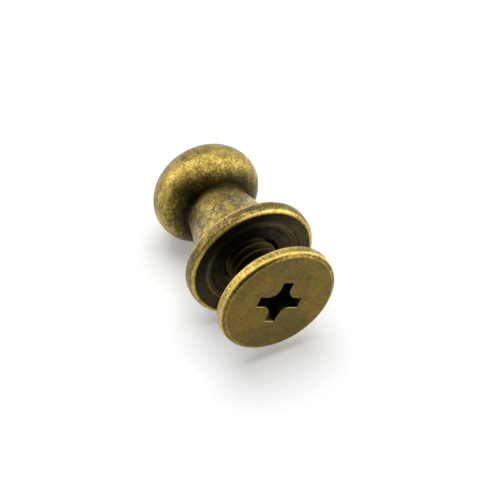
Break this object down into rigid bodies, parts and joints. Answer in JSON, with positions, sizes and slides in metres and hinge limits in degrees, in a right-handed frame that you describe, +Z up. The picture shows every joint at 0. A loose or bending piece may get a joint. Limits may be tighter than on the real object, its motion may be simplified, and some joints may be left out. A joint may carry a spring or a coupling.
{
  "type": "chicago screw",
  "caption": "Knob-headed chicago screw in antique brass: a turned stud with a necked knob and flange, closed by a flat screw with a cross recess.",
  "frame": {"origin": "middle of the footprint of the outline box, on the surface that the part lies on", "axes": "+X along the common axis of stud and screw, seen from above, towards the screw's head; +Z up. The axis rises 6.3 degrees towards +X, because the knob is smaller than the flange."},
  "size_m": [0.0158, 0.01, 0.0102],
  "materials": {
    "stud_brass": "antique brass, dark patina rubbed bright on the rounded edges",
    "screw_brass": "antique brass, rim rubbed bright, brown flat face"
  },
  "bodies": {
    "stud": {"knob_stud": "stud_brass"},
    "screw": {"flat_screw": "screw_brass"}
  },
  "joints": [
    {"name": "screw_travel", "type": "slide", "parent": "stud", "child": "screw", "axis": [0.9939, 0, 0.11], "range_m": [-0.0035, 0.0014]}
  ]
}
